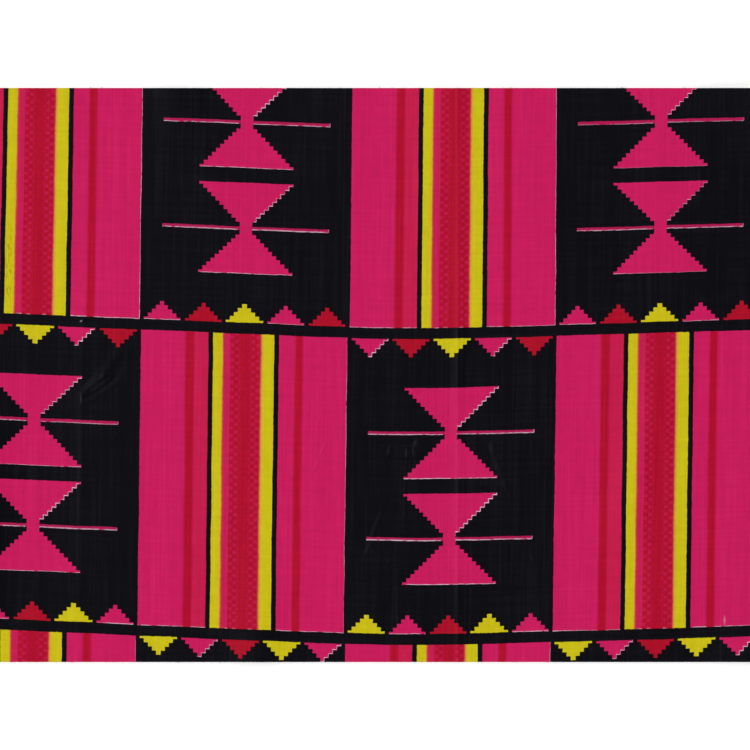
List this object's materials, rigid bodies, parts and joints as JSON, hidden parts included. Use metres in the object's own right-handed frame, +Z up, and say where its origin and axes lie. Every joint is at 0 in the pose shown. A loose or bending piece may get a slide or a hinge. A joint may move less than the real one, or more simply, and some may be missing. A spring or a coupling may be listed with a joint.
{
  "type": "ankara fabric",
  "caption": "Flat rectangular cut of printed ankara cotton, face up, with checkered blocks of stripes and stepped hourglasses between dark bands; it lies on a level surface.",
  "frame": {"origin": "on the surface that the cloth lies on, under the middle of the cut piece", "axes": "+X across the stripes of the print, along the longer cut edge; +Y along the stripes, towards the top of the print; +Z up, out of the printed face"},
  "size_m": [0.2914, 0.2138, 0.0031],
  "materials": {
    "printed_cotton": "matt plain-weave cotton with a faint press glaze, wax-print type colours: pink, crimson, yellow and black"
  },
  "bodies": {
    "root": {"printed_panel": "printed_cotton"}
  },
  "joints": []
}
